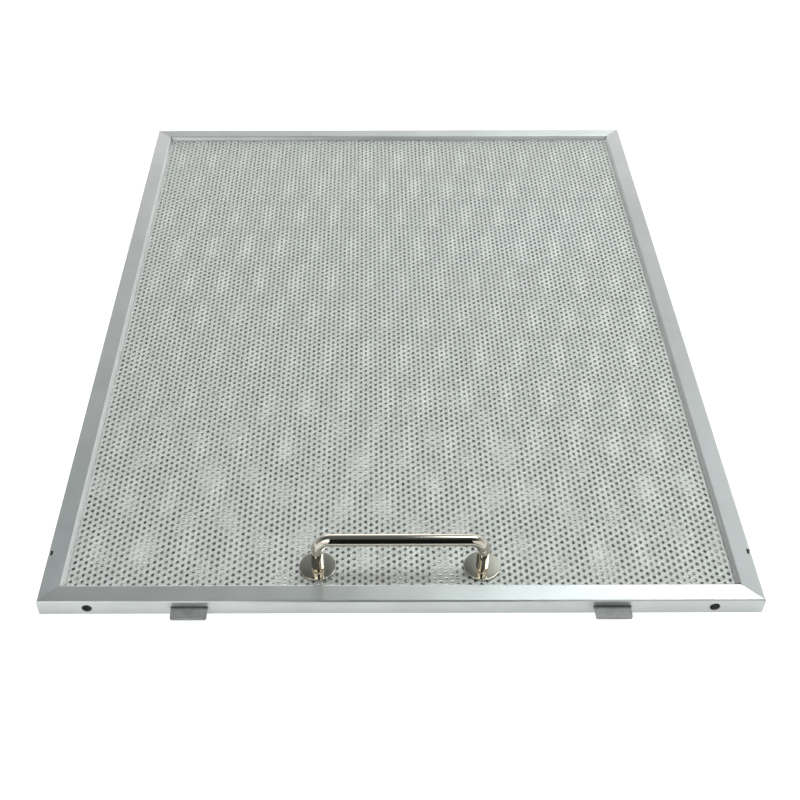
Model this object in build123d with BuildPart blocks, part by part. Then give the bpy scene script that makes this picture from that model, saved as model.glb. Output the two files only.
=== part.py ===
from build123d import *
import math
import os

# Cooker hood grease filter: a mitred channel frame round four layers of expanded mesh, with a wire handle

# Frame of rolled channel, in millimetres
FRAME_WIDTH = 280.0
FRAME_LENGTH = 360.0
FRAME_HEIGHT = 8.0
STRIP_THICKNESS = 0.6
BEND_INSIDE_RADIUS = 0.2
FLANGE_WIDTH = 8.0
LIP_DROP = 2.3
SIDE_LIP_LEAN = 28.0
END_LIP_LEAN = 22.0
LIP_RELIEF = 0.5
MITRE_GAP = 0.1

# Corner keys that stand inside the channel and hold the mitres together
KEY_LEG = 14.0
KEY_THICKNESS = 1.2
KEY_CLEARANCE = 0.1

# Round holes in the front wall, measured from the ends of the rail
WALL_HOLE_DIAMETER = 4.0
WALL_HOLE_FROM_END = 19.0

# Small crimp notches in the top outer edge of the side rails
NOTCH_FROM_FRONT = 24.4
NOTCH_LENGTH = 2.4
NOTCH_WIDTH = 1.8
NOTCH_DEPTH = 0.9

# Locating lugs: T-shaped plates that reach out through slots in the front wall
LUG_SPACING = 163.0
LUG_WIDTH = 14.0
LUG_REACH = 5.4
LUG_THICKNESS = 1.2
LUG_CORNER_CHAMFER = 0.5
LUG_SHOULDER = 3.0
LUG_BASE_DEPTH = 2.2
SLOT_SIDE_CLEARANCE = 0.3
SLOT_BOTTOM_CLEARANCE = 0.1
SLOT_TOP_CLEARANCE = 0.4

# Mesh layers between the lips, drawn fourteen times coarser than the real strands
LAYER_COUNT = 4
MESH_EDGE_CLEARANCE = 0.2
FACE_CELL_WIDTH = 63.49
FACE_CELL_LENGTH = 45.75
FACE_STRAND = 14.0
INNER_CELL_WIDTH = 84.56
INNER_CELL_LENGTH = 48.66
INNER_STRAND = 18.0

# Wire handle on two roses, screwed on from behind
HANDLE_CENTRES = 65.0
HANDLE_FROM_FRONT = 18.8
HANDLE_WIRE_DIAMETER = 5.0
HANDLE_BEND_RADIUS = 5.5
HANDLE_RISE = 16.0
ROSE_DIAMETER = 14.6
ROSE_THICKNESS = 1.0
ROSE_EDGE_CHAMFER = 0.3
SCREW_DIAMETER = 3.0
SCREW_HEAD_DIAMETER = 5.6
SCREW_HEAD_HEIGHT = 1.6
SCREW_SLOT_WIDTH = 0.8
SCREW_SLOT_DEPTH = 0.8
THREAD_LENGTH_IN_HANDLE = 5.0
BORE_SPARE_DEPTH = 1.0
WASHER_DIAMETER = 10.0
WASHER_THICKNESS = 0.6
SCREW_CLEARANCE = 0.1
THREAD_CLEARANCE = 0.05

# Places that follow from the sizes above; the origin is under the middle of the whole outline
FRAME_CENTRE_Y = LUG_REACH / 2
FRONT_Y = FRAME_CENTRE_Y - FRAME_LENGTH / 2
BACK_Y = FRAME_CENTRE_Y + FRAME_LENGTH / 2
MID_HEIGHT = FRAME_HEIGHT / 2
LAYER_THICKNESS = (FRAME_HEIGHT - 2 * LIP_DROP) / LAYER_COUNT
MESH_TOP = FRAME_HEIGHT - LIP_DROP
MESH_BOTTOM = LIP_DROP
MESH_INSET = STRIP_THICKNESS + LUG_BASE_DEPTH + MESH_EDGE_CLEARANCE
HANDLE_Y = FRONT_Y + HANDLE_FROM_FRONT
HANDLE_X = HANDLE_CENTRES / 2
ROSE_TOP = MESH_TOP + ROSE_THICKNESS
BAR_Z = MESH_TOP + HANDLE_RISE
WASHER_BOTTOM = MESH_BOTTOM - WASHER_THICKNESS
SCREW_PASSAGE_RADIUS = SCREW_DIAMETER / 2 + SCREW_CLEARANCE
SIDES = {"left": -1, "right": 1}

os.makedirs("parts", exist_ok=True)


def save(piece, label):
    """Names a finished piece and writes it to its own file."""
    piece.label = label
    export_step(piece, f"parts/{label}.step")


def lip_foot_height(lean):
    """Height of the lip's upper corner when its lower corner stands on the mesh."""
    return MESH_TOP + STRIP_THICKNESS * math.sin(math.radians(lean))


def border_width(lean):
    """Distance from a rail's outer face to the foot of its lip."""
    return FLANGE_WIDTH + (FRAME_HEIGHT - lip_foot_height(lean)) * math.tan(math.radians(lean))


def mitred_channel(origin, inward, along, length, lean):
    """A length of lipped channel whose outer face stands at origin, cut at 45 degrees at both ends."""
    mitre_back = MITRE_GAP / math.sqrt(2)
    border = border_width(lean)
    foot_height = lip_foot_height(lean)
    with BuildPart() as channel:
        with BuildSketch(Plane(origin, x_dir=inward, z_dir=along)):
            with BuildLine():
                FilletPolyline(
                    (border, foot_height),
                    (FLANGE_WIDTH, FRAME_HEIGHT),
                    (0, FRAME_HEIGHT),
                    (0, 0),
                    (FLANGE_WIDTH, 0),
                    (border, FRAME_HEIGHT - foot_height),
                    radius=BEND_INSIDE_RADIUS + STRIP_THICKNESS,
                )
                offset(amount=STRIP_THICKNESS, side=Side.LEFT)
            make_face()
        extrude(amount=length / 2, both=True)
        with BuildSketch(Plane(origin, x_dir=along, z_dir=(0, 0, 1))):
            with BuildLine():
                outer = length / 2 - mitre_back
                flange_end = outer - FLANGE_WIDTH
                lip_end = flange_end - LIP_RELIEF
                lip_foot = lip_end - (border - FLANGE_WIDTH)
                Polyline(
                    (-outer, 0),
                    (outer, 0),
                    (flange_end, FLANGE_WIDTH),
                    (lip_end, FLANGE_WIDTH),
                    (lip_foot, border),
                    (-lip_foot, border),
                    (-lip_end, FLANGE_WIDTH),
                    (-flange_end, FLANGE_WIDTH),
                    close=True,
                )
            make_face()
        extrude(amount=FRAME_HEIGHT, mode=Mode.INTERSECT)
    return channel.part


# Front rail, with the two round holes and the two lug slots in its wall
front_blank = mitred_channel((0, FRONT_Y, 0), (0, 1, 0), (1, 0, 0), FRAME_WIDTH, END_LIP_LEAN)
front_wall = Plane((0, FRONT_Y, MID_HEIGHT), x_dir=(1, 0, 0), z_dir=(0, -1, 0))
hole_spacing = FRAME_WIDTH - 2 * WALL_HOLE_FROM_END
slot_height = LUG_THICKNESS + SLOT_BOTTOM_CLEARANCE + SLOT_TOP_CLEARANCE
slot_rise = (SLOT_TOP_CLEARANCE - SLOT_BOTTOM_CLEARANCE) / 2
wall_cut_depth = 2 * STRIP_THICKNESS
with BuildPart() as front_rail:
    add(front_blank)
    with Locations(front_wall):
        with GridLocations(hole_spacing, 0, 2, 1):
            Hole(WALL_HOLE_DIAMETER / 2, depth=wall_cut_depth)
    with BuildSketch(front_wall):
        with Locations((0, slot_rise)):
            with GridLocations(LUG_SPACING, 0, 2, 1):
                Rectangle(LUG_WIDTH + 2 * SLOT_SIDE_CLEARANCE, slot_height)
    extrude(amount=-wall_cut_depth, mode=Mode.SUBTRACT)
save(front_rail.part, "front_rail")

# Back rail, plain
back_blank = mitred_channel((0, BACK_Y, 0), (0, -1, 0), (-1, 0, 0), FRAME_WIDTH, END_LIP_LEAN)
with BuildPart() as back_rail:
    add(back_blank)
save(back_rail.part, "back_rail")

# Side rails, each with one small notch in its top outer edge
for name, side in SIDES.items():
    side_x = side * FRAME_WIDTH / 2
    foot = (side_x, FRAME_CENTRE_Y, 0)
    side_blank = mitred_channel(foot, (-side, 0, 0), (0, side, 0), FRAME_LENGTH, SIDE_LIP_LEAN)
    with BuildPart() as side_rail:
        add(side_blank)
        with Locations((side_x, FRONT_Y + NOTCH_FROM_FRONT, FRAME_HEIGHT)):
            Box(2 * NOTCH_WIDTH, NOTCH_LENGTH, 2 * NOTCH_DEPTH, mode=Mode.SUBTRACT)
    save(side_rail.part, f"{name}_rail")

# Corner keys: angle strips on edge against the inside of the walls
key_floor = STRIP_THICKNESS + BEND_INSIDE_RADIUS + KEY_CLEARANCE
for name, side in SIDES.items():
    for end, end_y, inward_y in (("front", FRONT_Y, 1), ("back", BACK_Y, -1)):
        corner_x = side * (FRAME_WIDTH / 2 - STRIP_THICKNESS)
        corner_y = end_y + inward_y * STRIP_THICKNESS
        leg_x = corner_x - side * KEY_LEG
        leg_y = corner_y + inward_y * KEY_LEG
        inside_x = corner_x - side * KEY_THICKNESS
        inside_y = corner_y + inward_y * KEY_THICKNESS
        with BuildPart() as corner_key:
            with BuildSketch(Plane.XY.offset(key_floor)):
                with BuildLine():
                    Polyline(
                        (corner_x, corner_y),
                        (leg_x, corner_y),
                        (leg_x, inside_y),
                        (inside_x, inside_y),
                        (inside_x, leg_y),
                        (corner_x, leg_y),
                        close=True,
                    )
                make_face()
            extrude(amount=FRAME_HEIGHT - 2 * key_floor)
        save(corner_key.part, f"{end}_{name}_corner_key")


def mesh_layer(floor, cell_width, cell_length, strand, full_columns_outside):
    """One layer of staggered diamond openings, with a square passage for each handle screw."""
    sheet_width = FRAME_WIDTH - 2 * MESH_INSET
    sheet_length = FRAME_LENGTH - 2 * MESH_INSET
    open_share = 1 - strand * math.hypot(cell_width, cell_length) / (cell_width * cell_length)
    gap_width = cell_width * open_share
    gap_length = cell_length * open_share
    columns = 1 + int((FRAME_WIDTH - 2 * border_width(SIDE_LIP_LEAN) - gap_width) / cell_width)
    rows = 1 + int((FRAME_LENGTH - 2 * border_width(END_LIP_LEAN) - gap_length) / cell_length)
    rows_between = rows - 1
    if not full_columns_outside:
        rows, rows_between = rows_between, rows
    with BuildPart() as layer:
        with BuildSketch(Plane((0, FRAME_CENTRE_Y, floor))):
            Rectangle(sheet_width, sheet_length)
            for across, down in ((columns, rows), (columns - 1, rows_between)):
                with GridLocations(cell_width, cell_length, across, down):
                    Polygon(
                        (-gap_width / 2, 0),
                        (0, -gap_length / 2),
                        (gap_width / 2, 0),
                        (0, gap_length / 2),
                        mode=Mode.SUBTRACT,
                    )
            with Locations((0, HANDLE_Y - FRAME_CENTRE_Y)):
                with GridLocations(HANDLE_CENTRES, 0, 2, 1):
                    Rectangle(2 * SCREW_PASSAGE_RADIUS, 2 * SCREW_PASSAGE_RADIUS, mode=Mode.SUBTRACT)
        extrude(amount=LAYER_THICKNESS)
    return layer.part


# Face layers of close mesh outside, two layers of wider mesh between them
face_cell = (FACE_CELL_WIDTH, FACE_CELL_LENGTH, FACE_STRAND, True)
inner_cell = (INNER_CELL_WIDTH, INNER_CELL_LENGTH, INNER_STRAND, False)
layers = {
    "back_mesh": face_cell,
    "lower_inner_mesh": inner_cell,
    "upper_inner_mesh": inner_cell,
    "front_mesh": face_cell,
}
for level, (name, cell) in enumerate(layers.items()):
    save(mesh_layer(MESH_BOTTOM + level * LAYER_THICKNESS, *cell), name)

# Locating lugs, each tongue outside its slot and its shoulders behind the wall
lug_floor = MID_HEIGHT - LUG_THICKNESS / 2
for name, side in SIDES.items():
    with BuildPart() as lug:
        with BuildSketch(Plane((side * LUG_SPACING / 2, FRONT_Y, lug_floor))):
            with Locations((0, STRIP_THICKNESS)):
                Rectangle(LUG_WIDTH, LUG_REACH + STRIP_THICKNESS, align=(Align.CENTER, Align.MAX))
                Rectangle(LUG_WIDTH + 2 * LUG_SHOULDER, LUG_BASE_DEPTH, align=(Align.CENTER, Align.MIN))
        extrude(amount=LUG_THICKNESS)
        tip_corners = lug.edges().filter_by(Axis.Z).group_by(Axis.Y)[0]
        chamfer(tip_corners, LUG_CORNER_CHAMFER)
    save(lug.part, f"{name}_lug")

# Handle: one bent wire with a tapped hole in each end
with BuildPart() as handle:
    with BuildLine():
        FilletPolyline(
            (-HANDLE_X, HANDLE_Y, ROSE_TOP),
            (-HANDLE_X, HANDLE_Y, BAR_Z),
            (HANDLE_X, HANDLE_Y, BAR_Z),
            (HANDLE_X, HANDLE_Y, ROSE_TOP),
            radius=HANDLE_BEND_RADIUS,
        )
    with BuildSketch(Plane((-HANDLE_X, HANDLE_Y, ROSE_TOP))):
        Circle(HANDLE_WIRE_DIAMETER / 2)
    sweep()
    with Locations(Plane((0, HANDLE_Y, ROSE_TOP), x_dir=(1, 0, 0), z_dir=(0, 0, -1))):
        with GridLocations(HANDLE_CENTRES, 0, 2, 1):
            Hole(SCREW_DIAMETER / 2 + THREAD_CLEARANCE, depth=THREAD_LENGTH_IN_HANDLE + BORE_SPARE_DEPTH)
save(handle.part, "handle")

# Roses under the ends of the handle, and the screws and washers behind the mesh
screw_length = ROSE_TOP + THREAD_LENGTH_IN_HANDLE - WASHER_BOTTOM
for name, side in SIDES.items():
    post_x = side * HANDLE_X
    with BuildPart() as rose:
        with BuildSketch(Plane((post_x, HANDLE_Y, MESH_TOP))):
            Circle(ROSE_DIAMETER / 2)
            Circle(SCREW_PASSAGE_RADIUS, mode=Mode.SUBTRACT)
        extrude(amount=ROSE_THICKNESS)
        rim = rose.edges().filter_by(GeomType.CIRCLE).group_by(Axis.Z)[-1].sort_by(SortBy.RADIUS)[-1]
        chamfer(rim, ROSE_EDGE_CHAMFER)
    save(rose.part, f"{name}_rose")

    with BuildPart() as washer:
        with BuildSketch(Plane((post_x, HANDLE_Y, WASHER_BOTTOM))):
            Circle(WASHER_DIAMETER / 2)
            Circle(SCREW_PASSAGE_RADIUS, mode=Mode.SUBTRACT)
        extrude(amount=WASHER_THICKNESS)
    save(washer.part, f"{name}_washer")

    with BuildPart() as screw:
        with BuildSketch(Plane((post_x, HANDLE_Y, WASHER_BOTTOM))):
            Circle(SCREW_DIAMETER / 2)
        extrude(amount=screw_length)
        with BuildSketch(Plane((post_x, HANDLE_Y, WASHER_BOTTOM - SCREW_HEAD_HEIGHT))):
            Circle(SCREW_HEAD_DIAMETER / 2)
        extrude(amount=SCREW_HEAD_HEIGHT)
        with BuildSketch(Plane((post_x, HANDLE_Y, WASHER_BOTTOM - SCREW_HEAD_HEIGHT))):
            Rectangle(SCREW_HEAD_DIAMETER, SCREW_SLOT_WIDTH)
        extrude(amount=SCREW_SLOT_DEPTH, mode=Mode.SUBTRACT)
    save(screw.part, f"{name}_screw")
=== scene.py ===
# %% [markdown]
# # A cooker hood filter
#
# The part is a flat grease filter: four layers of expanded aluminium mesh in a frame of rolled channel,
# with a small wire handle. The solids come from the imported frame. This lesson adds what the solids leave
# out: the thousands of fine openings in the mesh, smooth polished wire, the finishes and a studio.

# %% Load the solids
import math

import bpy
import numpy as np
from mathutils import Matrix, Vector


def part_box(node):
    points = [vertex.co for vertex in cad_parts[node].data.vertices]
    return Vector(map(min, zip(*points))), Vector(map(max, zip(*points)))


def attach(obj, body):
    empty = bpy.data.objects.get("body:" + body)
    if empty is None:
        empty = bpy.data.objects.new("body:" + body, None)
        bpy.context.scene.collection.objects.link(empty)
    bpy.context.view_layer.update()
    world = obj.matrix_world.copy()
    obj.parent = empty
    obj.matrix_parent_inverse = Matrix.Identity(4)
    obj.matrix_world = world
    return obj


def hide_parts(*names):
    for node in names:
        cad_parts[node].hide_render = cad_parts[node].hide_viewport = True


MM = 0.001

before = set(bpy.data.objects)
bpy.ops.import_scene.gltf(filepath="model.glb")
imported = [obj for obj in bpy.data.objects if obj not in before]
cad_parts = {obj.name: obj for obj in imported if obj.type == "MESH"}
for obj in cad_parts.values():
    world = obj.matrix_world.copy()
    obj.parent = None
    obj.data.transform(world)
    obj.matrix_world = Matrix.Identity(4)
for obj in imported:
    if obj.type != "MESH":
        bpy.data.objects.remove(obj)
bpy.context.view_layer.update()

# %% [markdown]
# ## Building node trees
#
# Finishes and light are trees of nodes. In the shader editor they would be drawn with the mouse. In a
# script, three small helpers keep them readable: one adds a node with its settings, one links pairs of
# sockets, and one mixes two colours by a factor.

# %% Node helpers
def add_node(tree, kind, **settings):
    """Adds a node and sets its properties, or its inputs where the name is that of a socket."""
    node = tree.nodes.new(kind)
    for key, value in settings.items():
        if hasattr(node, key):
            setattr(node, key, value)
        else:
            node.inputs[key.replace("_", " ")].default_value = value
    return node


def join(tree, *pairs):
    """Links each pair of an output and an input."""
    for source, target in pairs:
        tree.links.new(source, target)


def mixed_colour(tree, first, second, factor):
    """Colour = first + (second - first) times factor."""
    mix = add_node(tree, "ShaderNodeMix", data_type="RGBA")
    ends = [socket for socket in mix.inputs if socket.type == "RGBA"]
    for socket, colour in zip(ends, (first, second)):
        socket.default_value = (*colour, 1.0)
    join(tree, (factor, mix.inputs["Factor"]))
    return next(socket for socket in mix.outputs if socket.type == "RGBA")


# %% [markdown]
# ## Grain
#
# Rolling and brushing leave fine straight lines in sheet metal. A picture of lines would need unwrapping,
# so the lines are noise on Object coordinates that is stretched very long in one direction. Every metal
# here has some grain, so it is a shader node group with named sockets. A group puts out plain values, and
# the material decides what they change.

# %% Grain group
def new_group(name, output, **inputs):
    """An empty group with one float output, and an input for each name: a float or a vector to start from."""
    group = bpy.data.node_groups.new(name, "ShaderNodeTree")
    for label, value in inputs.items():
        kind = "NodeSocketFloat" if isinstance(value, float) else "NodeSocketVector"
        group.interface.new_socket(label, in_out="INPUT", socket_type=kind).default_value = value
    group.interface.new_socket(output, in_out="OUTPUT", socket_type="NodeSocketFloat")
    coords = add_node(group, "ShaderNodeTexCoord").outputs["Object"]
    return group, coords, group.nodes.new("NodeGroupInput"), group.nodes.new("NodeGroupOutput")


def build_grain():
    """Value(p) = noise(p times stretch), so a small stretch along one axis draws the noise out into lines
    along that axis."""
    group, coords, given, out = new_group("rolled_grain", "Lines", Stretch=(1.0, 1.0, 1.0))
    scaled = add_node(group, "ShaderNodeVectorMath", operation="MULTIPLY")
    noise = add_node(group, "ShaderNodeTexNoise", Scale=1.0, Detail=4.0, Roughness=0.65)
    join(
        group,
        (coords, scaled.inputs[0]),
        (given.outputs["Stretch"], scaled.inputs[1]),
        (scaled.outputs["Vector"], noise.inputs["Vector"]),
        (noise.outputs["Fac"], out.inputs["Lines"]),
    )
    return group


GRAIN = build_grain()
print("group:", GRAIN.name, [socket.name for socket in GRAIN.interface.items_tree])

# %% [markdown]
# ## Clouding
#
# Handled metal is never quite even: its tone and its gloss drift over a few millimetres. Soft noise, mapped
# onto a band from low to high, does for both. The material sets the band, so one group serves colour and
# roughness.

# %% Clouding group
NOISE_LOW, NOISE_HIGH = 0.3, 0.7


def build_clouding():
    """Value = low + (high - low) times noise, where the middle part of the noise is spread over 0 to 1."""
    group, coords, given, out = new_group("handled_clouding", "Value", Scale=60.0, Low=0.3, High=0.4)
    noise = add_node(group, "ShaderNodeTexNoise", Detail=3.0, Roughness=0.55)
    band = add_node(group, "ShaderNodeMapRange", clamp=True, From_Min=NOISE_LOW, From_Max=NOISE_HIGH)
    join(
        group,
        (coords, noise.inputs["Vector"]),
        (given.outputs["Scale"], noise.inputs["Scale"]),
        (noise.outputs["Fac"], band.inputs["Value"]),
        (given.outputs["Low"], band.inputs["To Min"]),
        (given.outputs["High"], band.inputs["To Max"]),
        (band.outputs["Result"], out.inputs["Value"]),
    )
    return group


CLOUDING = build_clouding()
print("group:", CLOUDING.name, [socket.name for socket in CLOUDING.interface.items_tree])

# %% [markdown]
# ## Painted light patches
#
# Light patches lie over the mesh where the openings of two layers fall in step, as when two net curtains
# hang one behind the other and the lit strands below show through. The layers below do this by themselves,
# but faintly, so the light patches are also painted into the colour of the nets: painted light. Two waves
# that cross make a chessboard of patches, and the stronger one makes them lean. Soft noise bends the rows
# and makes some patches weaker than others.

# %% Painted light patch group
WAVE_SHARES = {"Main": 0.62, "Side": 0.38}
PATCH_BEND = (6.0 * MM, 14.0 * MM, 0.0)
PATCH_FROM = 0.15


# Painted light: the patch value lightens the base colour of the nets where lit layers below would show
# through.
def build_painted_light_patches():
    """Patch = noise times the part of 0.62 cos(main . p) + 0.38 cos(side . p) above a threshold, where p is
    measured from the middle of one patch and shifted by the same noise."""
    group, coords, given, out = new_group(
        "painted_moire_light", "Patch", Main=(1.0, -1.0, 0.0), Side=(1.0, 1.0, 0.0), Start=(0.0, 0.0, 0.0)
    )
    shifted = add_node(group, "ShaderNodeVectorMath", operation="SUBTRACT")
    noise = add_node(group, "ShaderNodeTexNoise", Scale=12.0, Detail=1.0)
    bent = add_node(group, "ShaderNodeVectorMath", operation="MULTIPLY_ADD")
    bent.inputs[1].default_value = PATCH_BEND
    both = add_node(group, "ShaderNodeMath", operation="ADD")
    light = add_node(group, "ShaderNodeMapRange", clamp=True, From_Min=PATCH_FROM)
    uneven = add_node(group, "ShaderNodeMath", operation="MULTIPLY")
    join(
        group,
        (coords, shifted.inputs[0]),
        (given.outputs["Start"], shifted.inputs[1]),
        (coords, noise.inputs["Vector"]),
        (noise.outputs["Color"], bent.inputs[0]),
        (shifted.outputs["Vector"], bent.inputs[2]),
        (both.outputs["Value"], light.inputs["Value"]),
        (light.outputs["Result"], uneven.inputs[0]),
        (noise.outputs["Fac"], uneven.inputs[1]),
        (uneven.outputs["Value"], out.inputs["Patch"]),
    )
    for place, (label, share) in enumerate(WAVE_SHARES.items()):
        phase = add_node(group, "ShaderNodeVectorMath", operation="DOT_PRODUCT")
        wave = add_node(group, "ShaderNodeMath", operation="COSINE")
        part = add_node(group, "ShaderNodeMath", operation="MULTIPLY")
        part.inputs[1].default_value = share
        join(
            group,
            (bent.outputs["Vector"], phase.inputs[0]),
            (given.outputs[label], phase.inputs[1]),
            (phase.outputs["Value"], wave.inputs[0]),
            (wave.outputs["Value"], part.inputs[0]),
            (part.outputs["Value"], both.inputs[place]),
        )
    return group


PAINTED_LIGHT_PATCHES = build_painted_light_patches()
print("group:", PAINTED_LIGHT_PATCHES.name, [socket.name for socket in PAINTED_LIGHT_PATCHES.interface.items_tree])

# %% [markdown]
# ## One recipe for every metal
#
# All the metals of the filter share one recipe: a base colour between a dark and a light one, a roughness
# that drifts over a band, and a bump from the grain. Brushed aluminium is also anisotropic, because its
# lines spread a reflection across their own direction. A vector across the lines goes to the shader's
# tangent, which has no value of its own and takes only a link.

# %% Metal recipe
HAZE_FINENESS = 2.3
GRAIN_HEIGHT = 0.2 * MM


def metal(name, colours, rough, cloud, grain, bump, spread=None, anisotropy=0.0, painted_light_patches=None):
    """A metal whose colour runs over a pair of colours, by clouding or by painted light patches, and whose
    roughness runs over a pair of values by finer clouding."""
    material = bpy.data.materials.new(name)
    material.use_nodes = True
    tree = material.node_tree
    shader = tree.nodes["Principled BSDF"]
    shader.inputs["Metallic"].default_value = 1.0
    shader.inputs["Anisotropic"].default_value = anisotropy

    # Painted light: with patches, the base colour is lighter where the layers fall in step.
    if painted_light_patches:
        tone = add_node(tree, "ShaderNodeGroup", node_tree=PAINTED_LIGHT_PATCHES, **painted_light_patches).outputs["Patch"]
    else:
        drift = add_node(tree, "ShaderNodeGroup", node_tree=CLOUDING, Scale=cloud, Low=0.0, High=1.0)
        tone = drift.outputs["Value"]
    low, high = rough
    fine = cloud * HAZE_FINENESS
    haze = add_node(tree, "ShaderNodeGroup", node_tree=CLOUDING, Scale=fine, Low=low, High=high)
    lines = add_node(tree, "ShaderNodeGroup", node_tree=GRAIN, Stretch=grain)
    relief = add_node(tree, "ShaderNodeBump", Strength=bump, Distance=GRAIN_HEIGHT)
    join(
        tree,
        (mixed_colour(tree, *colours, tone), shader.inputs["Base Color"]),
        (haze.outputs["Value"], shader.inputs["Roughness"]),
        (lines.outputs["Lines"], relief.inputs["Height"]),
        (relief.outputs["Normal"], shader.inputs["Normal"]),
    )
    if spread:
        across = add_node(tree, "ShaderNodeCombineXYZ", X=spread[0], Y=spread[1], Z=spread[2])
        join(tree, (across.outputs["Vector"], shader.inputs["Tangent"]))
    print("metal:", name)
    return material


# %% [markdown]
# ## Brushed rails
#
# The rails are rolled from strip, with fine lines along their length. Front and back rails run across the
# filter and the side rails along it, so there are two finishes that differ only in the direction of the
# lines and of the spread.

# %% Rail finishes
FINE = 9000.0
LONG = 25.0
RAIL = {
    "colours": ((0.76, 0.77, 0.76), (0.84, 0.85, 0.84)),
    "rough": (0.34, 0.40),
    "cloud": 40.0,
    "bump": 0.11,
    "anisotropy": 0.85,
}
rail_cross = metal("brushed_aluminium_cross", grain=(LONG, FINE, FINE), spread=(0, 1, 0), **RAIL)
rail_along = metal("brushed_aluminium_along", grain=(FINE, LONG, FINE), spread=(1, 0, 0), **RAIL)

# %% [markdown]
# ## Mesh finishes
#
# The mesh is matt, because slitting and pulling roughen the strands. Both finishes carry painted light: the
# light patches are painted into their colour. The layers behind the face have a darker low colour, which is
# painted shade, and stronger painted light patches, since it is these layers that show through the openings.

# %% Mesh finishes with painted light and shade
PATCH_WIDTH = 18.3 * MM
PATCH_LENGTH = 60.0 * MM
PATCH_START = (72.5 * MM, 128.7 * MM, 0.0)
turns_x, turns_y = 2 * math.pi / PATCH_WIDTH, 2 * math.pi / PATCH_LENGTH
MESH = {
    "rough": (0.72, 0.82),
    "cloud": 90.0,
    "grain": (1500.0, 1500.0, 1500.0),
    "bump": 0.12,
    "painted_light_patches": {"Main": (turns_x, -turns_y, 0.0), "Side": (turns_x, turns_y, 0.0), "Start": PATCH_START},
}
# Painted light: the base colour is lighter in the patches.
mesh_metal_painted_light = metal("mesh_aluminium", ((0.84, 0.835, 0.81), (0.985, 0.975, 0.95)), **MESH)
# Painted shade and light: a darker low colour than the face for the shaded inner layers, and a lighter high
# colour for stronger patches.
inner_metal_painted_light_and_shade = metal("inner_aluminium_painted_light_and_shade", ((0.81, 0.805, 0.78), (1.0, 0.99, 0.965)), **MESH)

# %% [markdown]
# ## Nickel, zinc and plain aluminium
#
# The handle and its roses are polished and plated, with a slightly warm mirror finish. Lugs, screws and
# washers are dull zinc on steel. The corner keys inside the frame are aluminium as it comes from the mill.

# %% Handle and fixing finishes
nickel = metal(
    "polished_nickel", colours=((0.72, 0.67, 0.575), (0.80, 0.75, 0.655)),
    rough=(0.04, 0.08), cloud=120.0, grain=(900.0, 900.0, 900.0), bump=0.03,
)
zinc = metal(
    "zinc_plated_steel", colours=((0.36, 0.355, 0.35), (0.47, 0.465, 0.46)),
    rough=(0.55, 0.65), cloud=220.0, grain=(1200.0, 1200.0, 1200.0), bump=0.15,
)
plain = metal(
    "plain_aluminium", colours=((0.66, 0.67, 0.67), (0.76, 0.77, 0.77)),
    rough=(0.35, 0.45), cloud=80.0, grain=(900.0, 900.0, 900.0), bump=0.1,
)

# %% [markdown]
# ## Dressing the solids that stay
#
# The rails, corner keys, lugs, screws and washers already have their true shape, so they only take a
# finish. The front and back rails are brushed across the filter, and the side rails along it, which is
# why their tone breaks at each mitre.

# %% Finishes on the solids
FINISH_BY_ENDING = {
    ("front_rail", "back_rail"): rail_cross,
    ("left_rail", "right_rail"): rail_along,
    ("corner_key",): plain,
    ("lug", "screw", "washer"): zinc,
}
for endings, finish in FINISH_BY_ENDING.items():
    dressed = [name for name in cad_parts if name.endswith(endings)]
    for name in dressed:
        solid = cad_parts[name]
        solid.data.materials.clear()
        solid.data.materials.append(finish)
    print(finish.name, "on", dressed)

# %% [markdown]
# ## From arrays to a piece
#
# Every new shape is worked out as whole numpy arrays, because a net of thousands of openings is far too
# much for a loop over its points. One helper turns an array of points and a list of faces into an object.
# The object stays at the origin with its place in its mesh, and rides on the filter's only body.

# %% Piece helper
def make_piece(name, points, faces, material, smooth):
    """A mesh object at the origin, from an (n, 3) array of points in metres and lists of face corners."""
    mesh = bpy.data.meshes.new(name)
    mesh.from_pydata(np.asarray(points).reshape(-1, 3).tolist(), [], [list(f) for f in faces])
    mesh.polygons.foreach_set("use_smooth", np.full(len(mesh.polygons), smooth))
    mesh.materials.append(material)
    mesh.update()
    piece = bpy.data.objects.new(name, mesh)
    bpy.context.collection.objects.link(piece)
    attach(piece, "root")
    print(name, "triangles:", sum(len(p.vertices) - 2 for p in mesh.polygons))
    return piece


# %% [markdown]
# ## Where a layer shows
#
# The rails hide the edges of the mesh. A net needs to reach only from lip to lip and some way under the
# lips, so its size is taken from the rails themselves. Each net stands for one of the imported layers, in
# that layer's own slot.

# %% Layer helpers
def layer_box(node, under_lip):
    """The part of a layer that shows between the lips, and a little more under them."""
    low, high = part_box(node)
    rails_low = np.array([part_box("left_rail")[1][0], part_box("front_rail")[1][1], low[2]])
    rails_high = np.array([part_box("right_rail")[0][0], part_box("back_rail")[0][1], high[2]])
    margin = np.array([under_lip, under_lip, 0.0])
    return rails_low - margin, rails_high + margin


def stands_for(node):
    """Hides a layer that a piece replaces."""
    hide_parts(node)


shown = layer_box("front_mesh", 0.0)
print("mesh between the lips, mm:", np.round((shown[1] - shown[0])[:2] / MM, 1).tolist())

# %% [markdown]
# ## Face layer: where the openings lie
#
# Expanded metal is a sheet that is slit and pulled open. The face layer of this filter is a fine grade
# with small oval openings and broad webs. A bump map can't make holes, so the openings are real. Centres
# of openings and of bonds take turns on a grid, like the two colours of a chessboard, so each opening
# owns a lozenge with a bond at each of its four corners.

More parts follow.
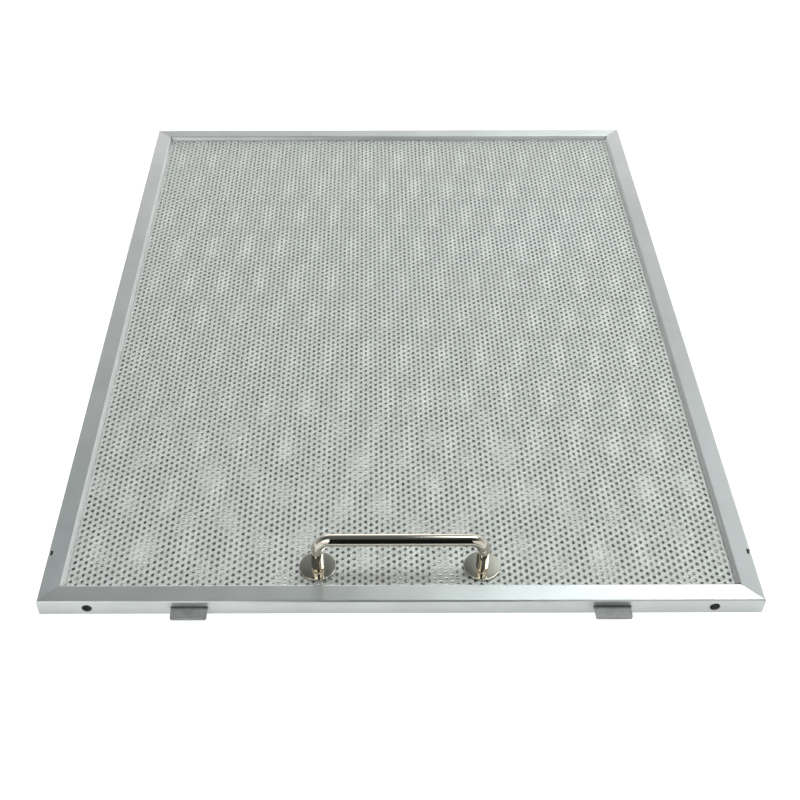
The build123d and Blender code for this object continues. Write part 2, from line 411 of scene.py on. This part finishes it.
# %% Chessboard of openings and bonds
def opening_grid(size, cell, rows):
    """Grid point (m, j) lies at half a cell width times m and half a cell length times j. Points with m + j
    even, inside the edge and within the given share of the rows, are openings. The others are bonds."""
    m_end, j_end = (np.asarray(size)[:2] / np.array(cell)).astype(int)
    m, j = np.meshgrid(np.arange(-m_end, m_end + 1), np.arange(-j_end, j_end + 1))
    first, last = (int(round(-j_end + 2 * j_end * share)) for share in rows)
    in_rows = (j > first) & (j <= last) & (j < j_end)
    return m, j, (abs(m) < m_end) & in_rows & ((m + j) % 2 == 0)


sample = opening_grid((4, 4), (1, 1), (0, 1))[2]
print("openings in a sample of 4 by 4 cells:", int(sample.sum()))

# %% [markdown]
# ## Face layer: points
#
# Each opening gets a rim of eight points. Its front side stands a little higher than its back side, because
# pulling the sheet twists every strand. The whole sheet also waves very gently, which breaks up the light
# as a real sheet does.

# %% Points of the pierced sheet
RIM_POINTS = 8
WAVE_X, WAVE_X_START = 9.1 * MM, 0.7
WAVE_Y, WAVE_Y_START = 13.7 * MM, 0.3


def pierced_points(m, j, opening, cell, hole, rise, wave):
    """Grid points, then the rims. A rim is an ellipse whose height is -rise times the sine of its angle, and
    wave times the product of two sines is added to every height."""
    step = np.array(cell) / 2
    turn = np.arange(RIM_POINTS) * 2 * math.pi / RIM_POINTS
    rim_x = m[opening][:, None] * step[0] + hole[0] / 2 * np.cos(turn)
    rim_y = j[opening][:, None] * step[1] + hole[1] / 2 * np.sin(turn)
    rim_z = np.broadcast_to(-rise * np.sin(turn), rim_x.shape)
    x = np.concatenate([(m * step[0]).ravel(), rim_x.ravel()])
    y = np.concatenate([(j * step[1]).ravel(), rim_y.ravel()])
    z = np.concatenate([np.zeros(m.size), rim_z.ravel()])
    z = z + wave * np.sin(x / WAVE_X + WAVE_X_START) * np.sin(y / WAVE_Y + WAVE_Y_START)
    return np.stack([x, y, z], axis=-1)


print("points round an opening:", RIM_POINTS)

# %% [markdown]
# ## Face layer: faces
#
# Between a rim and the four bonds round it lie twelve triangles, three to each side of the lozenge. The
# lower skin has the same triangles turned over. Walls join the two skins inside each opening, and along
# every side of a lozenge that has no opening beyond it, so the sheet is a closed shell.

# %% Faces of the pierced sheet
def pierced_faces(opening, below):
    """Triangles of both skins and quads of the walls, as numbers of points. The rims follow the grid, one
    opening after the other, and a point of the lower skin comes below places after its upper one."""
    here = np.flatnonzero(opening)
    width = opening.shape[1]
    bonds = here[:, None] + np.array([1, width, -1, -width])
    beyond = here[:, None] + np.array([1 + width, width - 1, -1 - width, 1 - width])
    rim = opening.size + np.arange(len(here) * RIM_POINTS).reshape(-1, RIM_POINTS)
    bonds_next, rim_next = np.roll(bonds, -1, axis=1), np.roll(rim, -1, axis=1)
    rim_first, rim_mid, rim_last = rim[:, 0::2], rim[:, 1::2], np.roll(rim[:, 0::2], -1, axis=1)
    fans = [(rim_first, bonds, rim_mid), (rim_mid, bonds, bonds_next), (rim_mid, bonds_next, rim_last)]
    skin = np.concatenate([np.stack(fan, axis=-1).reshape(-1, 3) for fan in fans])
    hole_walls = np.stack([rim, rim_next, rim_next + below, rim + below], axis=-1).reshape(-1, 4)
    outer_walls = np.stack([bonds, bonds + below, bonds_next + below, bonds_next], axis=-1)
    outer_walls = outer_walls[~opening.ravel()[beyond]]
    return np.concatenate([skin, skin[:, ::-1] + below]), np.concatenate([hole_walls, outer_walls])


print("triangles of both skins round an opening:", len(pierced_faces(sample, 0)[0]) // int(sample.sum()))

# %% [markdown]
# ## Face layer: the net
#
# The two formulas together make one net. Points that no face uses, such as the middles of the openings, are
# left out. The net hangs so that its highest rims touch the top of the layer.

# %% Pierced net
def pierced_net(name, low, high, cell, hole, sheet, rise, wave, material, rows):
    """A sheet with an oval opening in each lozenge. The lower skin is the upper one moved down by the
    sheet's thickness."""
    m, j, opening = opening_grid(high - low, cell, rows)
    middle = pierced_points(m, j, opening, cell, hole, rise, wave)
    centre = (low + high) / 2
    centre[2] = high[2] - sheet / 2 - rise - wave
    half_sheet = np.array([0.0, 0.0, sheet / 2])
    points = np.concatenate([middle + half_sheet, middle - half_sheet]) + centre
    triangles, quads = pierced_faces(opening, len(middle))
    used, numbers = np.unique(np.concatenate([triangles.ravel(), quads.ravel()]), return_inverse=True)
    triangles, quads = np.split(numbers, [triangles.size])
    faces = [*triangles.reshape(-1, 3).tolist(), *quads.reshape(-1, 4).tolist()]
    return make_piece(name, points[used], faces, material, smooth=False)


# %% [markdown]
# ## Face layer: three strips
#
# The pitch of the openings was measured in the photograph: 4.5 mm across and 3.3 mm along. As one piece the
# net would have too many triangles, so it is made in three strips that share the same grid and meet edge to
# edge.

# %% Face layer
FACE_CELL = (4.535 * MM, 3.268 * MM)
FACE_HOLE = (1.42 * MM, 1.88 * MM)
FACE_SHEET = 0.45 * MM
FACE_RISE = 0.09 * MM
FACE_WAVE = 0.04 * MM
FACE_UNDER_LIP = 4.6 * MM
STRIPS = ("near", "middle", "far")

for number, strip in enumerate(STRIPS):
    share = (number / len(STRIPS), (number + 1) / len(STRIPS))
    net = pierced_net(
        f"front_net_{strip}", *layer_box("front_mesh", FACE_UNDER_LIP), FACE_CELL, FACE_HOLE, FACE_SHEET,
        FACE_RISE, FACE_WAVE, mesh_metal_painted_light, share,
    )
    stands_for("front_mesh")

# %% [markdown]
# ## Layers behind: zigzag bars
#
# The layers behind are seen only through those openings, and the back layer from below. There each strand
# is a plain zigzag bar, which is joined to the bar in front at one corner and to the bar behind at the
# next. That takes far fewer faces than an opening with a rim.

# %% Points of the zigzag bars
BAR_EDGE = np.array([-1.0, 1.0, 1.0, -1.0])
BAR_FACE = np.array([-1.0, -1.0, 1.0, 1.0])


def zigzag_points(size, cell, strand, sheet, tilt):
    """Bar number j lies at y = j times half a cell, and swings by +-A with a corner at every half cell of x.
    Neighbouring bars swing in opposite senses, so they meet at every other corner. A is chosen so that
    their edges just meet there: half a cell less 2A equals the strand's width in plan. The bar's height
    swings the other way by half the rise of its own tilted width."""
    half_cell = cell[1] / 2
    swing = (half_cell - strand * math.cos(tilt)) / 2
    lift = strand * math.sin(tilt) / 2
    corner_end, bar_end = (np.asarray(size)[:2] / np.array(cell)).astype(int)
    corners = np.arange(-corner_end, corner_end + 1)[None, :, None]
    bars = np.arange(-bar_end, bar_end + 1)[:, None, None]
    sense = (1 - 2 * (bars % 2)) * (1 - 2 * (corners % 2))
    x = corners * cell[0] / 2
    y = bars * half_cell + sense * swing
    y = y + BAR_EDGE * strand / 2 * math.cos(tilt) - BAR_FACE * sheet / 2 * math.sin(tilt)
    z = BAR_EDGE * strand / 2 * math.sin(tilt) + BAR_FACE * sheet / 2 * math.cos(tilt) - sense * lift
    return np.stack(np.broadcast_arrays(x, y, z), axis=-1)


sample = zigzag_points((4, 4), (1, 1), 0.3, 0.1, 0.0)
print("bars, corners and points round each, in a sample of 4 by 4 cells:", sample.shape[:3])

# %% [markdown]
# ## Faces of a grid
#
# A bar, a wire and a turned plate are all grids of points: one direction runs along the piece and the
# other round it. Only the points differ, so the faces come from one helper. Either direction may close on
# itself, like the hoop of a barrel.

# %% Grid helper
def grid_faces(rows, columns, close_rows=False, close_columns=False):
    """Corner numbers of the quads of a grid: each cell takes its own point, the next in its row, the one
    diagonally on, and the next in its column. A closed direction wraps round to its first line."""
    r = np.arange(rows if close_rows else rows - 1)[:, None]
    c = np.arange(columns if close_columns else columns - 1)[None, :]
    r_next = (r + 1) % rows
    c_next = (c + 1) % columns
    corners = [r * columns + c, r * columns + c_next, r_next * columns + c_next, r_next * columns + c]
    return np.stack(np.broadcast_arrays(*corners), axis=-1).reshape(-1, 4)


print("quads on a hoop of 3 by 4 points:", len(grid_faces(3, 4, close_columns=True)))

# %% [markdown]
# ## Layers behind: a net of bars
#
# A bar is a grid that closes round its section, with a cap at each end. All bars are alike, so their faces
# are the faces of one bar, counted on from bar to bar. A layer may lie slightly askew, as loose layers do
# in the frame, so the net is turned a little about its middle.

# %% Zigzag net
def zigzag_net(name, low, high, cell, strand, sheet, tilt, turn, material):
    """A net of zigzag bars about the middle of a box, turned by x' = x cos - y sin, y' = x sin + y cos."""
    points = zigzag_points(high - low, cell, strand, sheet, tilt)
    bars, corners, section = points.shape[:3]
    x, y, z = np.moveaxis(points, -1, 0)
    turned_x = x * math.cos(turn) - y * math.sin(turn)
    turned_y = x * math.sin(turn) + y * math.cos(turn)
    points = np.stack([turned_x, turned_y, z], axis=-1) + (low + high) / 2
    first_cap = np.arange(section)[None, ::-1]
    last_cap = np.arange(section)[None, :] + section * (corners - 1)
    one_bar = np.concatenate([grid_faces(corners, section, close_columns=True), first_cap, last_cap])
    faces = (one_bar + (section * corners * np.arange(bars))[:, None, None]).reshape(-1, section)
    return make_piece(name, points, faces.tolist(), material, smooth=False)


# %% [markdown]
# ## Layers behind: inner and back
#
# Two inner layers have a wider mesh and lie slightly askew, each its own way, so that what shows through the
# openings changes from place to place. The back layer has the pitch of the face and lies straight. Its
# strands lean the other way.

# %% Inner and back layers
INNER_CELL = (6.04 * MM, 3.476 * MM)
INNER_STRAND = 0.95 * MM
BACK_STRAND = 1.05 * MM
BAR_SHEET = 0.26 * MM
BAR_TILT = math.radians(14)
UPPER_TURN, LOWER_TURN = math.radians(1.2), math.radians(-2.0)
INNER_UNDER_LIP = 2.2 * MM
BARS = {
    "upper_inner_mesh": (INNER_CELL, INNER_STRAND, BAR_SHEET, -BAR_TILT, UPPER_TURN),
    "lower_inner_mesh": (INNER_CELL, INNER_STRAND, BAR_SHEET, -BAR_TILT, LOWER_TURN),
    "back_mesh": (FACE_CELL, BACK_STRAND, BAR_SHEET, BAR_TILT, 0.0),
}

for node, sizes in BARS.items():
    net = zigzag_net(node.replace("mesh", "net"), *layer_box(node, INNER_UNDER_LIP), *sizes, inner_metal_painted_light_and_shade)
    stands_for(node)

# %% [markdown]
# ## Wire handle: the path
#
# The handle is one bent wire. A polished wire shows every facet, so it is remade as a smooth tube. A curve
# object with a bevel could do this, but a path in numpy keeps the bends exact: post, quarter circle, bar,
# quarter circle, post.

# %% Handle path
BEND_STEPS = 20


def handle_path(left, right, foot, top, bend):
    """Points and headings in the XZ plane: up the left post, a quarter circle, along the bar, another
    quarter circle, and down the right post."""
    turn = np.linspace(0, math.pi / 2, BEND_STEPS)
    first_x, first_z = left + bend * (1 - np.cos(turn)), top - bend + bend * np.sin(turn)
    second_x, second_z = right - bend + bend * np.sin(turn), top - bend + bend * np.cos(turn)
    x = np.concatenate([[left], first_x, second_x, [right]])
    z = np.concatenate([[foot], first_z, second_z, [foot]])
    heading = np.concatenate([[math.pi / 2], math.pi / 2 - turn, -turn, [-math.pi / 2]])
    return x, z, heading


print("points on the path:", len(handle_path(-1.0, 1.0, 0.0, 1.0, 0.2)[0]))

# %% [markdown]
# ## Wire handle: the tube
#
# A circle is carried along the path, always square to its heading. Its size and place come from the box of
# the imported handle, so that the tube lies exactly over the solid that it stands for.

# %% Handle tube
WIRE_SIDES = 48
BEND_RADIUS = 5.5 * MM


def handle_tube(name, node, material):
    """Tube: centre(s) + r (cos a times the path's side vector + sin a times Y)."""
    low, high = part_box(node)
    radius = (high[1] - low[1]) / 2
    x, z, heading = handle_path(low[0] + radius, high[0] - radius, low[2], high[2] - radius, BEND_RADIUS)
    angle = np.linspace(0, 2 * math.pi, WIRE_SIDES, endpoint=False)
    side = radius * np.cos(angle)[None, :]
    px = x[:, None] - side * np.sin(heading)[:, None]
    py = (high[1] + low[1]) / 2 + radius * np.sin(angle)[None, :] + 0 * px
    pz = z[:, None] + side * np.cos(heading)[:, None]
    tube = grid_faces(len(x), WIRE_SIDES, close_columns=True)
    ring = np.arange(WIRE_SIDES)
    feet = [ring[::-1].tolist(), (ring + (len(x) - 1) * WIRE_SIDES).tolist()]
    return make_piece(name, np.stack([px, py, pz], axis=-1), [*tube.tolist(), *feet], material, smooth=True)


handle = handle_tube("handle_wire", "handle", nickel)
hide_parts("handle")

# %% [markdown]
# ## Roses
#
# Each foot of the handle stands on a round polished plate. A plate like this is turned, so it is a
# profile spun about the screw's axis, with a rounded rim that catches a thin line of light.

# %% Spun roses
ROSE_SIDES = 96
RIM_STEPS = 8
RIM = 0.3 * MM
PASSAGE = 1.6 * MM
SHARP_FROM = math.radians(50)


def spun_rose(name, node, material):
    """A ring spun from a closed profile: along the bottom, up round the rim, back along the top."""
    low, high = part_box(node)
    radius = (high[0] - low[0]) / 2
    turn = np.linspace(0, math.pi / 2, RIM_STEPS)
    r = np.concatenate([[PASSAGE, radius], radius - RIM + RIM * np.cos(turn), [PASSAGE]])
    z = np.concatenate([[low[2], low[2]], high[2] - RIM + RIM * np.sin(turn), [high[2]]])
    angle = np.linspace(0, 2 * math.pi, ROSE_SIDES, endpoint=False)[:, None]
    px = (low[0] + high[0]) / 2 + r * np.cos(angle)
    py = (low[1] + high[1]) / 2 + r * np.sin(angle)
    points = np.stack([px, py, z + 0 * px], axis=-1)
    faces = grid_faces(ROSE_SIDES, len(r), close_rows=True, close_columns=True)[:, ::-1]
    piece = make_piece(name, points, faces, material, smooth=True)
    piece.data.set_sharp_from_angle(angle=SHARP_FROM)
    return piece


for side in ("left", "right"):
    rose = spun_rose(f"{side}_rose_plate", f"{side}_rose", nickel)
    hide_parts(f"{side}_rose")

# %% [markdown]
# ## Studio sheets
#
# The floor and a black card belong to the studio and not to the part. Both are flat sheets of a matt
# material without any gloss, so they share a helper.

# %% Sheet helper
def studio_sheet(name, finish, grey, corners, faces):
    """A flat sheet of one matt grey, and its material's node tree for further settings."""
    material = bpy.data.materials.new(finish)
    material.use_nodes = True
    shader = material.node_tree.nodes["Principled BSDF"]
    shader.inputs["Base Color"].default_value = (grey, grey, grey, 1.0)
    shader.inputs["Specular IOR Level"].default_value = 0.0
    mesh = bpy.data.meshes.new(name)
    mesh.from_pydata(corners, [], faces)
    mesh.materials.append(material)
    sheet = bpy.data.objects.new(name, mesh)
    bpy.context.collection.objects.link(sheet)
    return sheet, material.node_tree


# %% [markdown]
# ## Floor
#
# The floor is plain diffuse white, so it takes the filter's shadow. To come out as white paper it also
# glows, but only for the rays that look at it: strongly for the camera, and less for metal that mirrors it.
# It sheds no light on the part.

# %% Floor
FLOOR_HALF = 3.0
FLOOR_GREY = 0.9
FLOOR_ROUGHNESS = 0.9
CAMERA_GLOW = 0.85
MIRROR_GLOW = 0.29

floor_corners = np.array([[-1, -1, 0], [1, -1, 0], [1, 1, 0], [-1, 1, 0]]) * FLOOR_HALF
floor, tree = studio_sheet("floor", "pale_floor", FLOOR_GREY, floor_corners.tolist(), [[0, 1, 2, 3]])
shader = tree.nodes["Principled BSDF"]
shader.inputs["Roughness"].default_value = FLOOR_ROUGHNESS
shader.inputs["Emission Color"].default_value = (1.0, 1.0, 1.0, 1.0)
rays = add_node(tree, "ShaderNodeLightPath")
to_camera = add_node(tree, "ShaderNodeMath", operation="MULTIPLY")
to_camera.inputs[1].default_value = CAMERA_GLOW
to_metal = add_node(tree, "ShaderNodeMath", operation="MULTIPLY_ADD")
to_metal.inputs[1].default_value = MIRROR_GLOW
join(
    tree,
    (rays.outputs["Is Camera Ray"], to_camera.inputs[0]),
    (rays.outputs["Is Glossy Ray"], to_metal.inputs[0]),
    (to_camera.outputs["Value"], to_metal.inputs[2]),
    (to_metal.outputs["Value"], shader.inputs["Emission Strength"]),
)
print("floor of", 2 * FLOOR_HALF, "m, glow for the camera", CAMERA_GLOW, "and for mirrors", MIRROR_GLOW)

# %% [markdown]
# ## Black card
#
# Photographers set black cards round polished metal, because it is the dark reflection that shows a wire to
# be round. Here a card lies in front of the handle, folded up at the end towards the camera, and draws the
# black band along the bar. Only mirror rays see it.

# %% Black card
CARD_LEFT, CARD_RIGHT = -55.0 * MM, 70.0 * MM
CARD_NEAR, CARD_FAR = -210.0 * MM, -350.0 * MM
CARD_BOTTOM, CARD_TOP = 1.0 * MM, 165.0 * MM
CARD_GREY = 0.01

card_line = [(CARD_NEAR, CARD_BOTTOM), (CARD_FAR, CARD_BOTTOM), (CARD_FAR, CARD_TOP)]
card_corners = [(x, y, z) for y, z in card_line for x in (CARD_LEFT, CARD_RIGHT)]
card, _ = studio_sheet("black_card", "black_card", CARD_GREY, card_corners, [[0, 2, 3, 1], [2, 4, 5, 3]])
card.visible_camera = False
card.visible_diffuse = False
card.visible_shadow = False
print("card:", round((CARD_RIGHT - CARD_LEFT) / MM), "mm wide and", round(CARD_TOP / MM), "mm high")

# %% [markdown]
# ## Light by direction
#
# Metal shows what stands round it, so the studio is a world whose light changes with direction. Area lamps
# could do this too, but polished wire would show their hard edges. Each light is a product of ramps, and
# each ramp reads one part of the direction: X to the right, Y away from the camera, Z up. The back wall is
# bright at the horizon and falls off upwards. A soft box hangs overhead on the right and makes the front
# rail run from grey to white. The other lights are weak fills that lift one rail or lip each.

# %% Lights
# Each row: part of the direction, where the ramp starts and stops, its level at the start and at the stop,
# and its shape if that isn't smooth
LIGHTS = {
    "back wall": (
        ("Z", 0.0, 0.80, 1.30, 0.13, "LINEAR"),
        ("X", -0.35, 0.35, 0.93, 1.17),
        ("X", -0.70, -0.25, 0.40, 1.0),
        ("X", 0.75, 0.35, 0.60, 1.0),
        ("Y", -0.75, 0.05, 0.02, 1.0),
    ),
    "glow low on the wall": (
        ("Z", 0.46, 0.34, 0.0, 1.0),
        ("X", 0.16, 0.0, 0.0, 1.0),
        ("X", -0.32, -0.22, 0.0, 1.0),
        ("Y", 0.50, 0.70, 0.0, 1.0),
    ),
    "soft box": (
        ("X", 0.03, 0.155, 0.0, 5.1),
        ("X", 0.70, 0.50, 0.0, 1.0),
        ("Y", 0.06, 0.18, 0.0, 1.0),
        ("Y", 0.53, 0.41, 0.0, 1.0),
        ("Z", 0.0, 0.2, 0.0, 1.0),
    ),
    "panel on the right": (
        ("X", 0.0, 0.22, 0.0, 0.60),
        ("X", 0.80, 0.65, 0.0, 1.0),
        ("Y", 0.82, 0.64, 0.0, 1.0),
        ("Y", 0.50, 0.60, 0.0, 1.0),
        ("Z", 0.20, 0.35, 0.0, 1.0),
    ),
    "window behind the camera": (
        ("X", -0.08, -0.22, 0.0, 1.3),
        ("X", -0.80, -0.60, 0.0, 1.0),
        ("Y", -0.25, -0.40, 0.0, 1.0),
        ("Z", 0.30, 0.50, 0.0, 1.0),
    ),
    "glow in front": (
        ("Z", 0.60, 0.45, 0.0, 0.80),
        ("Y", -0.30, -0.50, 0.0, 1.0),
    ),
}
print("lights:", list(LIGHTS))

# %% [markdown]
# ## Ramps and sums
#
# Two helpers turn that list into nodes. A Map Range node is one ramp, and a chain of Math nodes multiplies
# the ramps of a light or adds up the lights.

# %% World helpers
def ramp(tree, source, start, stop, first, last, shape="SMOOTHSTEP"):
    """Level = first at start and last at stop, held beyond them, smooth or straight between them."""
    band = add_node(tree, "ShaderNodeMapRange", interpolation_type=shape)
    for label, value in zip(("From Min", "From Max", "To Min", "To Max"), (start, stop, first, last)):
        band.inputs[label].default_value = value
    join(tree, (source, band.inputs["Value"]))
    return band.outputs["Result"]


def chain(tree, operation, values):
    """Joins several values by one operation, from the first to the last."""
    result = values[0]
    for value in values[1:]:
        node = add_node(tree, "ShaderNodeMath", operation=operation)
        join(tree, (result, node.inputs[0]), (value, node.inputs[1]))
        result = node.outputs["Value"]
    return result


# %% [markdown]
# ## The world
#
# All the lights are added up to one level for each direction. Light from high up is a little cooler, as from
# the sky, which gives the front of the frame its tint. Camera rays see level 1, so the background stays
# white whatever the lights do.

# %% World
LOW_LIGHT = (1.0, 1.0, 1.0)
HIGH_LIGHT = (0.90, 1.0, 1.0)
COOLER_FROM, COOLER_TO = 0.45, 0.75


def studio_world():
    """Light(d) = sum of the lights, each a product of ramps of d, and 1 for camera rays."""
    world = bpy.data.worlds.new("studio")
    bpy.context.scene.world = world
    world.use_nodes = True
    tree = world.node_tree
    background = tree.nodes["Background"]
    coords = add_node(tree, "ShaderNodeTexCoord")
    parts = add_node(tree, "ShaderNodeSeparateXYZ")
    join(tree, (coords.outputs["Generated"], parts.inputs["Vector"]))
    lights = [
        chain(tree, "MULTIPLY", [ramp(tree, parts.outputs[axis], *band) for axis, *band in ramps])
        for ramps in LIGHTS.values()
    ]
    height = ramp(tree, parts.outputs["Z"], COOLER_FROM, COOLER_TO, 0.0, 1.0)
    rays = add_node(tree, "ShaderNodeLightPath")
    level = add_node(tree, "ShaderNodeMix", data_type="FLOAT", B=1.0)
    join(
        tree,
        (chain(tree, "ADD", lights), level.inputs["A"]),
        (rays.outputs["Is Camera Ray"], level.inputs["Factor"]),
        (level.outputs["Result"], background.inputs["Strength"]),
        (mixed_colour(tree, LOW_LIGHT, HIGH_LIGHT, height), background.inputs["Color"]),
    )
    return tree


print("nodes in the world:", len(studio_world().nodes))

# %% [markdown]
# ## Camera
#
# The view looks down at the filter from just in front of it. Lens, place and tilt were found by matching
# the corners of the frame, with a small sideways shift because the picture is framed off its axis. The
# roll is about the camera's own line of sight, so the angles are applied in the order ZYX.

# %% Camera
CAMERA_PLACE = (-11.78 * MM, -457.47 * MM, 366.42 * MM)
CAMERA_PITCH = 42.236
CAMERA_ROLL = -0.148
SENSOR_WIDTH = 36.0
LENS = 52.69
SHIFT_X = 0.03775
CLIP_START = 0.01

camera_data = bpy.data.cameras.new("camera")
camera_data.sensor_width = SENSOR_WIDTH
camera_data.lens = LENS
camera_data.shift_x = SHIFT_X
camera_data.clip_start = CLIP_START
camera = bpy.data.objects.new("camera", camera_data)
bpy.context.collection.objects.link(camera)
camera.location = CAMERA_PLACE
camera.rotation_mode = "ZYX"
camera.rotation_euler = (math.radians(90 - CAMERA_PITCH), 0.0, math.radians(CAMERA_ROLL))
bpy.context.scene.camera = camera
bpy.context.scene.view_settings.view_transform = "Standard"
print("camera", round(math.hypot(*CAMERA_PLACE), 3), "m from the middle, looking down by", CAMERA_PITCH)
